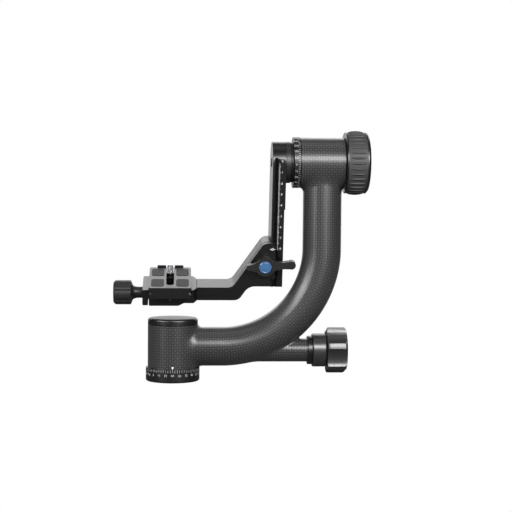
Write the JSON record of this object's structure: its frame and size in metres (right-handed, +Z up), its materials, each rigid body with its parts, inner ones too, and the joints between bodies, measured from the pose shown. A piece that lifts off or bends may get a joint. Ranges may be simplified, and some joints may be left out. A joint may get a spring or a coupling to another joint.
{
  "type": "gimbal tripod head",
  "caption": "J-shaped carbon gimbal head: pan base, cross tube with tilt lock knob, swing arm with mm scale, and a sliding cradle with a dovetail quick release clamp.",
  "frame": {"origin": "centre of the tripod socket's mouth on the underside of the base", "axes": "+Z up along the pan axis, +X from the pan axis towards the upright of the arm and along the tilt axis, +Y to the back; the swing arm rests tilted 14.5 degrees about +X, as pictured"},
  "size_m": [0.2279, 0.0778, 0.2238],
  "materials": {
    "black_anodised": "satin black anodised",
    "grey_anodised": "satin dark grey anodised",
    "carbon": "woven carbon fibre under satin resin",
    "steel": "bright turned steel",
    "brass": "turned",
    "rubber": "matt ribbed rubber",
    "blue_anodised": "satin blue anodised"
  },
  "bodies": {
    "base": {"base_disc": "black_anodised", "dial_ring": "black_anodised", "thread_bush": "steel", "pan_spindle": "steel", "spindle_washer": "steel", "spindle_nut": "steel", "base_screw_1": "steel", "base_screw_2": "steel", "base_screw_3": "steel"},
    "arm": {"carbon_arm": "carbon", "pan_housing": "grey_anodised", "base_cap": "black_anodised", "branch_flange": "black_anodised", "pan_bearing_low": "steel", "pan_bearing_high": "steel", "tilt_ring": "black_anodised", "tilt_housing": "grey_anodised", "tilt_bearing_left": "steel", "tilt_bearing_right": "steel", "tilt_end_plate": "black_anodised"},
    "pan_shoe": {"brake_shoe": "brass"},
    "pan_knob": {"lock_rod": "steel", "pan_knob_collar": "grey_anodised", "pan_knob_grip": "grey_anodised"},
    "tilt_disc": {"pressure_disc": "brass"},
    "tilt_knob": {"tilt_screw": "steel", "tilt_knob_core": "black_anodised", "tilt_knob_grip": "rubber"},
    "swing": {"swing_arm": "black_anodised", "hub_flange": "grey_anodised", "tilt_shaft": "steel", "shaft_bolt": "steel", "shaft_cap": "grey_anodised", "shaft_collar": "steel", "rail_stop": "steel"},
    "cradle": {"cradle": "black_anodised", "rear_jaw": "black_anodised", "rear_jaw_screw_1": "steel", "rear_jaw_screw_2": "steel", "jaw_stud": "steel", "jaw_pin": "steel", "clamp_body": "black_anodised", "clamp_screw_1": "steel", "clamp_screw_2": "steel", "clamp_stud": "steel", "guide_pin_1": "steel", "guide_pin_2": "steel"},
    "front_jaw": {"front_jaw": "black_anodised"},
    "lever": {"wing_lever": "grey_anodised"},
    "button": {"lever_button": "blue_anodised"},
    "clamp_jaw": {"clamp_jaw": "black_anodised"},
    "clamp_knob": {"clamp_knob": "grey_anodised"},
    "plate": {"quick_plate": "grey_anodised", "pad_1": "rubber", "pad_2": "rubber", "pad_3": "rubber", "pad_4": "rubber", "plate_lips": "black_anodised"},
    "screw_carriage": {"screw_washer": "steel"},
    "camera_screw": {"camera_screw": "steel"}
  },
  "joints": [
    {"name": "pan", "type": "hinge", "parent": "base", "child": "arm", "pos_m": [0, 0, 0.03], "axis": [0, 0, 1], "continuous": true},
    {"name": "pan_shoe_slide", "type": "slide", "parent": "arm", "child": "pan_shoe", "axis": [1, 0, 0], "range_m": [0, 0.001]},
    {"name": "pan_knob_turn", "type": "hinge", "parent": "pan_shoe", "child": "pan_knob", "pos_m": [0.14, 0, 0.02695], "axis": [1, 0, 0], "range_deg": [0, 360]},
    {"name": "tilt", "type": "hinge", "parent": "arm", "child": "swing", "pos_m": [0.12, 0, 0.1953], "axis": [1, 0, 0], "continuous": true},
    {"name": "tilt_disc_slide", "type": "slide", "parent": "arm", "child": "tilt_disc", "axis": [1, 0, 0], "range_m": [0, 0.001]},
    {"name": "tilt_knob_turn", "type": "hinge", "parent": "tilt_disc", "child": "tilt_knob", "pos_m": [0.16, 0, 0.1953], "axis": [1, 0, 0], "range_deg": [0, 360]},
    {"name": "height", "type": "slide", "parent": "swing", "child": "cradle", "axis": [0, -0.2504, 0.9681], "range_m": [0, 0.06]},
    {"name": "front_jaw_slide", "type": "slide", "parent": "cradle", "child": "front_jaw", "axis": [0, -0.9681, -0.2504], "range_m": [0, 0.0012]},
    {"name": "lever_turn", "type": "hinge", "parent": "front_jaw", "child": "lever", "pos_m": [0.082, -0.00291, 0.10272], "axis": [0, -0.9681, -0.2504], "range_deg": [0, 120]},
    {"name": "button_press", "type": "slide", "parent": "lever", "child": "button", "axis": [0, 0.9681, 0.2504], "range_m": [0, 0.001], "stiffness_N_per_m": 400, "springref_m": -0.0005},
    {"name": "clamp_jaw_slide", "type": "slide", "parent": "cradle", "child": "clamp_jaw", "axis": [-1, 0, 0], "range_m": [0, 0.004]},
    {"name": "clamp_knob_turn", "type": "hinge", "parent": "clamp_jaw", "child": "clamp_knob", "pos_m": [-0.045, 0.02021, 0.0772], "axis": [-1, 0, 0], "range_deg": [0, 720]},
    {"name": "plate_slide", "type": "slide", "parent": "cradle", "child": "plate", "axis": [0, 0.9681, 0.2504], "range_m": [-0.0048, 0.0048]},
    {"name": "screw_slide", "type": "slide", "parent": "plate", "child": "screw_carriage", "axis": [0, -0.9681, -0.2504], "range_m": [0, 0.034]},
    {"name": "camera_screw_turn", "type": "hinge", "parent": "screw_carriage", "child": "camera_screw", "pos_m": [-0.0027, 0.03186, 0.09488], "axis": [0, -0.2504, 0.9681], "continuous": true}
  ],
  "couplings": [
    {"joint": "pan_shoe_slide", "follows": "pan_knob_turn", "m_per_rad": 0.00015915},
    {"joint": "tilt_disc_slide", "follows": "tilt_knob_turn", "m_per_rad": 0.00015915},
    {"joint": "front_jaw_slide", "follows": "lever_turn", "m_per_rad": 0.00057296},
    {"joint": "clamp_knob_turn", "follows": "clamp_jaw_slide", "rad_per_m": 3141.6}
  ]
}
